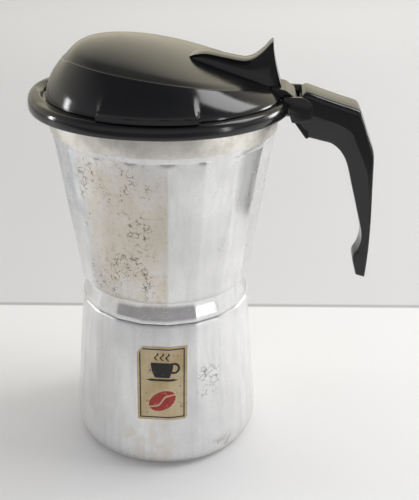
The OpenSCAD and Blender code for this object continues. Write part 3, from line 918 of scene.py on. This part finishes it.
def handle_section(t):
    """Points of one cross-section at share t of the handle's length."""
    ox, oz = along(HANDLE_OUT, t)
    ix, iz = along(HANDLE_IN, t)
    half = table(HANDLE_HALF, t)
    step = table(HANDLE_STEP, t)
    inner = half * lerp(0.84, 0.72, smooth(0.2, 0.8, t))
    thick = math.hypot(ox - ix, oz - iz)
    below = step - 0.35 / thick
    corners = [
        (1, -half), (step, -half), (below, -half + 0.5), (0, -inner),
        (0, inner), (below, half - 0.5), (step, half), (1, half),
    ]
    outline = rounded([(v * thick, w) for v, w in corners], CORNER_RADII)
    return [(lerp(ix, ox, v / thick), w, lerp(iz, oz, v / thick)) for v, w in outline]


def shrunk(ring, share, push_x, push_z):
    """A ring drawn in towards its middle and pushed along X and Z."""
    cx, cy, cz = (sum(p[i] for p in ring) / len(ring) for i in range(3))
    out = []
    for x, y, z in ring:
        out.append((lerp(cx, x, share) + push_x, lerp(cy, y, share), lerp(cz, z, share) + push_z))
    return out


def make_handle():
    """Seven-shaped handle: one loft from the hinge to the flicked end, and the toe under the hinge."""
    steps = 110
    stations = [handle_section(k / steps) for k in range(steps + 1)]
    front = [shrunk(stations[0], share, push, 0) for share, push in FRONT_CAP]
    end = [shrunk(stations[-1], share, 0, push) for share, push in END_CAP]
    verts, faces = skin(front + stations + end)
    handle = new_object("handle", verts, faces, 28)
    toe = apply_modifiers(extrude_side("toe", TOE, -9.6, 9.6, 0.8))
    join(handle, toe)
    finish_piece(handle, "top", BLACK_HANDLE, "handle", "handle")


# ---------------------------------------------------------------- label
LABEL_ANGLE = math.radians(-85.5)
LABEL_LOW = 30.0
LABEL_HIGH = 71.3
LABEL_HALF = 12.6
CUP_Z = 58.2
BEAN_Z = 41.0


def on_boiler(u, z, lift):
    """Point on the boiler's skin at arc distance u from the label's middle."""
    base = boiler_outer(z) * math.cos(HALF_FACET)
    a = LABEL_ANGLE + u / base
    r = boiler_outer(z) * facet_factor(a) + lift
    return (r * math.cos(a), r * math.sin(a), z)


# The four sides of a cell: the step to its neighbour, and the corners that they share
CELL_SIDES = [
    ((-1, 0), ((0, 0), (0, 1))),
    ((1, 0), ((1, 0), (1, 1))),
    ((0, -1), ((0, 0), (1, 0))),
    ((0, 1), ((0, 1), (1, 1))),
]


def decal(name, inside, u_range, z_range, lift, thick, step, material):
    """Thin sheet over the boiler with the cells for which inside(u, z) is true."""
    nu = int((u_range[1] - u_range[0]) / step) + 1
    nz = int((z_range[1] - z_range[0]) / step) + 1
    index = {}
    verts = []
    faces = []

    def flat(i, k):
        """Place on the unrolled skin of a grid point."""
        return lerp(*u_range, i / nu), lerp(*z_range, k / nz)

    def vert(i, k, level):
        """Number of a corner on the lower (0) or upper (1) side, made when it is first needed."""
        if (i, k, level) not in index:
            index[i, k, level] = len(verts)
            verts.append(on_boiler(*flat(i, k), lift + thick * level))
        return index[i, k, level]

    kept = {(i, k) for i in range(nu) for k in range(nz) if inside(*flat(i + 0.5, k + 0.5))}
    for i, k in sorted(kept):
        for level in (0, 1):
            corners = ((i, k), (i + 1, k), (i + 1, k + 1), (i, k + 1))
            faces.append([vert(a, b, level) for a, b in corners])
        for (di, dk), ((a0, b0), (a1, b1)) in CELL_SIDES:
            if (i + di, k + dk) not in kept:
                near = (i + a0, k + b0)
                far = (i + a1, k + b1)
                faces.append([vert(*near, 0), vert(*far, 0), vert(*far, 1), vert(*near, 1)])
    ob = new_object(name, verts, faces, 40)
    return finish_piece(ob, "base", material, "label")


def foil_material():
    """Gilt paper foil, yellowed and worn through in places."""
    n = Nodes("label_foil")
    wear = n.noise(260, 5, 0.7)
    blot = n.noise(70, 4, 0.6)
    colour = n.mix(n.span(blot, 0.35, 0.65), (0.50, 0.38, 0.20), (0.62, 0.52, 0.34))
    colour = n.mix(n.span(wear, 0.58, 0.72), colour, (0.20, 0.13, 0.07))
    rough = n.span(wear, 0.3, 0.7, 0.28, 0.55)
    return n.set(Base_Color=colour, Metallic=0.55, Roughness=rough, Normal=n.bump(wear, 0.25, 0.0002))


def ink(name, colour, worn):
    """Printed ink that shows the foil where it is rubbed."""
    n = Nodes(name)
    wear = n.noise(300, 5, 0.7)
    shade = n.mix(n.span(wear, 0.55, 0.75), colour, worn)
    rough = n.span(wear, 0.3, 0.7, 0.35, 0.6)
    return n.set(Base_Color=shade, Roughness=rough, Normal=n.bump(wear, 0.2, 0.0001))


def in_sheet(u, z):
    """The label's sheet, with a torn corner and a chipped one."""
    def ragged(a, b):
        return 0.35 * math.sin(3.1 * b + 1.3 * a) + 0.25 * math.sin(7.7 * b - 2.0 * a)

    torn = (u + LABEL_HALF) + (LABEL_HIGH - z) * 0.9 < 3.4 + ragged(u, z)
    chip = (LABEL_HALF - u) + (z - LABEL_LOW) < 1.2 + 0.5 * ragged(z, u)
    return not torn and not chip


def in_border(u, z):
    """A thin frame a little inside the sheet's edge."""
    edge = min(LABEL_HALF - abs(u), z - LABEL_LOW, LABEL_HIGH - z)
    return 1.3 < edge < 1.85 and in_sheet(u - 0.6, z + 0.6)


def in_cup(x, z):
    """A steaming cup on its saucer."""
    y = z - CUP_Z
    bowl = -4.0 < y < 4.2 and abs(x) < 5.6 - 0.02 * (4.2 - y) ** 2.2
    handle = 1.9 < math.hypot((x - 6.0) * 1.05, y - 1.1) < 3.1 and x > 4.6
    saucer = abs(x) < 8.2 - 4 * abs(y + 5.4) and -6.0 < y < -4.8
    steam = any(abs(x - c - 0.7 * math.sin(1.6 * y)) < 0.42 and 5.4 < y < 9.4 for c in (-2.8, 0.0, 2.8))
    return bowl or handle or saucer or steam


def in_bean(x, z):
    """A coffee bean, tilted, with a wavy slit along it."""
    y = z - BEAN_Z
    c, s = math.cos(0.6), math.sin(0.6)
    p, q = c * x + s * y, -s * x + c * y
    body = (p / 7.4) ** 2 + (q / 4.9) ** 2 < 1
    return body and abs(q - 0.9 * math.sin(p * 0.55)) > 0.42


def make_label():
    """Foil label with a plain border, a cup and a bean printed on it."""
    foil = foil_material()
    dark = ink("label_ink", (0.012, 0.011, 0.010), (0.12, 0.09, 0.05))
    red = ink("label_red", (0.42, 0.035, 0.03), (0.50, 0.22, 0.14))
    full_u = (-LABEL_HALF, LABEL_HALF)
    full_z = (LABEL_LOW, LABEL_HIGH)
    print_lift, print_thick = 0.105, 0.02
    sheet = decal("label_foil", in_sheet, full_u, full_z, 0.03, 0.07, 0.30, foil)
    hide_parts("label")
    decal("label_border", in_border, full_u, full_z, print_lift, print_thick, 0.16, dark)
    decal("label_cup", in_cup, (-9.5, 9.5), (51.5, 68.2), print_lift, print_thick, 0.14, dark)
    decal("label_bean", in_bean, (-8, 8), (34, 48), print_lift, print_thick, 0.14, red)


# ---------------------------------------------------------------- CAD pieces that keep their shape
KEPT = {
    "valve_body": BRASS, "valve_washer": FIBRE, "valve_seat": BRASS, "valve_spring": STEEL,
    "valve_plunger": STEEL, "funnel": PRESSED, "funnel_strainer": PRESSED, "gasket": GASKET,
    "filter_plate": PRESSED, "column_tube": PRESSED, "column_cap": PRESSED, "collar_screws": STEEL,
    "hinge_pin": STEEL, "handle_insert": BRASS, "handle_screw": STEEL,
}


def dress_kept_nodes():
    """Gives each carried-over CAD node its material, and leaves its mesh alone."""
    for node, material in KEPT.items():
        ob = frame["nodes"][node]
        ob.data.materials.clear()
        ob.data.materials.append(material)
        for slot in ob.material_slots:
            slot.material = material


# ---------------------------------------------------------------- floor, light and camera, in metres
FLOOR_HALF = 3.0
JOIN_Y = 0.1245
JOIN_TURN = math.radians(5)
TABLE_GREY = (0.80, 0.80, 0.80)
WALL_GREY = (0.69, 0.69, 0.695)
NEAR_PAINTED_SHADE = (0.24, 0.235, 0.24)
JOIN_GREY = (0.34, 0.34, 0.35)


def make_stage():
    """One floor, painted so that beyond a thin dark line it reads as the pale wall behind the table, with painted
    shade in front of the pot and painted light glowing brighter further back and to the right.
    """
    h = FLOOR_HALF
    mesh = bpy.data.meshes.new("floor")
    mesh.from_pydata([(-h, -h, 0), (h, -h, 0), (h, h, 0), (-h, h, 0)], [], [(0, 1, 2, 3)])
    floor = bpy.data.objects.new("floor", mesh)
    bpy.context.scene.collection.objects.link(floor)
    n = Nodes("floor_paint")
    depth = n.math("SUBTRACT", n.axis("Y"), n.math("MULTIPLY", n.axis("X"), math.tan(JOIN_TURN)))
    beyond = n.span(depth, JOIN_Y - 0.002, JOIN_Y + 0.001)
    line = n.both(beyond, n.span(depth, JOIN_Y + 0.001, JOIN_Y + 0.005, 1.0, 0.0))
    colour = n.mix(beyond, TABLE_GREY, WALL_GREY)
    # Painted shade: the floor in front of the pot, out of view, is painted dark so that glossy surfaces reflect a
    # dim room there
    colour = n.mix(n.span(depth, -0.40, -0.26), NEAR_PAINTED_SHADE, colour)
    colour = n.mix(n.both(line, 0.75), colour, JOIN_GREY)
    # Painted light: the wall part glows brighter further back and towards the right, and the table part glows
    # evenly a little
    painted_light_rightward = n.math("ADD", n.math("MULTIPLY", n.axis("X"), 0.44), 1.0)
    painted_glow = n.both(n.span(depth, 0.3, 1.6, 0.0, 0.32), painted_light_rightward)
    painted_glow = n.math("ADD", painted_glow, n.both(n.math("SUBTRACT", 1.0, beyond), 0.06))
    paint = n.set(Base_Color=colour, Roughness=0.6, Emission_Color=(1, 1, 1, 1), Emission_Strength=painted_glow)
    floor.data.materials.append(paint)


# Brightness of the room: by how far round it looks from front (0) to back (1), times how high (0.5 is level)
ROOM_BY_DEPTH = [
    (0.0, (0.46, 0.44, 0.46)), (0.35, (0.38, 0.38, 0.41)), (0.66, (0.72, 0.69, 0.61)),
    (1.0, (0.90, 0.84, 0.66)),
]
ROOM_BY_HEIGHT = [
    (0.45, (0.6, 0.6, 0.6)), (0.56, (1.1, 1.1, 1.1)), (0.70, (0.95, 0.95, 0.95)),
    (0.78, (0.74, 0.75, 0.78)), (0.88, (0.36, 0.37, 0.40)), (1.0, (0.40, 0.42, 0.45)),
]


def make_world():
    """A dim room: grey in front, warmer and brighter behind, darkest overhead."""
    world = bpy.data.worlds.new("room")
    bpy.context.scene.world = world
    world.use_nodes = True
    tree = world.node_tree
    direction = tree.nodes.new("ShaderNodeTexCoord").outputs["Generated"]
    split = tree.nodes.new("ShaderNodeSeparateXYZ")
    tree.links.new(direction, split.inputs[0])

    def ramp(axis, stops):
        """Colour along an axis of the direction, whose -1 to 1 is read as 0 to 1."""
        shift = tree.nodes.new("ShaderNodeMath")
        shift.operation = "MULTIPLY_ADD"
        tree.links.new(split.outputs["XYZ".index(axis)], shift.inputs[0])
        shift.inputs[1].default_value = 0.5
        shift.inputs[2].default_value = 0.5
        node = tree.nodes.new("ShaderNodeValToRGB")
        elements = node.color_ramp.elements
        while len(elements) < len(stops):
            elements.new(0.5)
        for e, (position, colour) in zip(elements, stops):
            e.position = position
            e.color = (*colour, 1)
        tree.links.new(shift.outputs[0], node.inputs["Fac"])
        return node.outputs["Color"]

    mix = tree.nodes.new("ShaderNodeMix")
    mix.data_type = "RGBA"
    mix.blend_type = "MULTIPLY"
    mix.inputs["Factor"].default_value = 1.0
    sockets = [s for s in mix.inputs if s.type == "RGBA"]
    tree.links.new(ramp("Y", ROOM_BY_DEPTH), sockets[0])
    tree.links.new(ramp("Z", ROOM_BY_HEIGHT), sockets[1])
    background = tree.nodes["Background"]
    tree.links.new(next(s for s in mix.outputs if s.type == "RGBA"), background.inputs["Color"])
    background.inputs["Strength"].default_value = 1.0


# Name, place, width and height, and power of each light; all face the middle of the pot
LIGHTS = [
    ("key", (0.85, 0.20, 1.1), (0.7, 0.7), 7.5),
    ("window_right", (1.0, 0.50, 0.30), (0.30, 0.34), 3.2),
    ("window_side", (0.95, -0.55, 0.10), (0.06, 0.70), 1.6),
    ("window_left", (-1.15, 0.05, 0.28), (0.12, 0.36), 1.8),
    ("ceiling", (0.0, 0.4, 1.7), (2.0, 2.0), 11),
]
POT_MIDDLE = Vector((0, 0, 0.1))


def make_lights():
    """A key and three windows that show in the gloss, and a ceiling that only fills."""
    for name, spot, size, power in LIGHTS:
        light = bpy.data.lights.new(name, "AREA")
        light.shape = "RECTANGLE"
        light.size, light.size_y = size
        light.energy = power
        ob = bpy.data.objects.new(name, light)
        ob.location = spot
        ob.rotation_mode = "QUATERNION"
        ob.rotation_quaternion = (POT_MIDDLE - Vector(spot)).to_track_quat("-Z", "Y")
        ob.visible_glossy = name != "ceiling"
        bpy.context.scene.collection.objects.link(ob)


CAMERA_PLACE = (0.04907, -0.37606, 0.2825)
CAMERA_PITCH = 0.442
CAMERA_ROLL = 0.016
CAMERA_TURN = 0.069
SENSOR = 36
FOCAL_PER_SENSOR = 1.6


def make_camera():
    """Camera close in front of the pot and above it, looking down and a little to its left."""
    camera = bpy.data.objects.new("camera", bpy.data.cameras.new("camera"))
    bpy.context.scene.collection.objects.link(camera)
    bpy.context.scene.camera = camera
    camera.location = CAMERA_PLACE
    ahead = Vector((-math.sin(CAMERA_TURN), math.cos(CAMERA_TURN), 0))
    look = math.cos(CAMERA_PITCH) * ahead - math.sin(CAMERA_PITCH) * Vector((0, 0, 1))
    side = Vector((math.cos(CAMERA_TURN), math.sin(CAMERA_TURN), 0))
    up = side.cross(look)
    right = math.cos(CAMERA_ROLL) * side + math.sin(CAMERA_ROLL) * up
    top = -math.sin(CAMERA_ROLL) * side + math.cos(CAMERA_ROLL) * up
    camera.rotation_mode = "QUATERNION"
    camera.rotation_quaternion = Matrix((right, top, -look)).transposed().to_quaternion()
    camera.data.sensor_width = SENSOR
    camera.data.lens = SENSOR * FOCAL_PER_SENSOR
    camera.data.clip_start = 0.01


make_boiler()
make_collector()
make_collar()
make_lid()
make_handle()
make_label()
dress_kept_nodes()
make_stage()
make_world()
make_lights()
make_camera()
bpy.context.scene.view_settings.view_transform = "Standard"
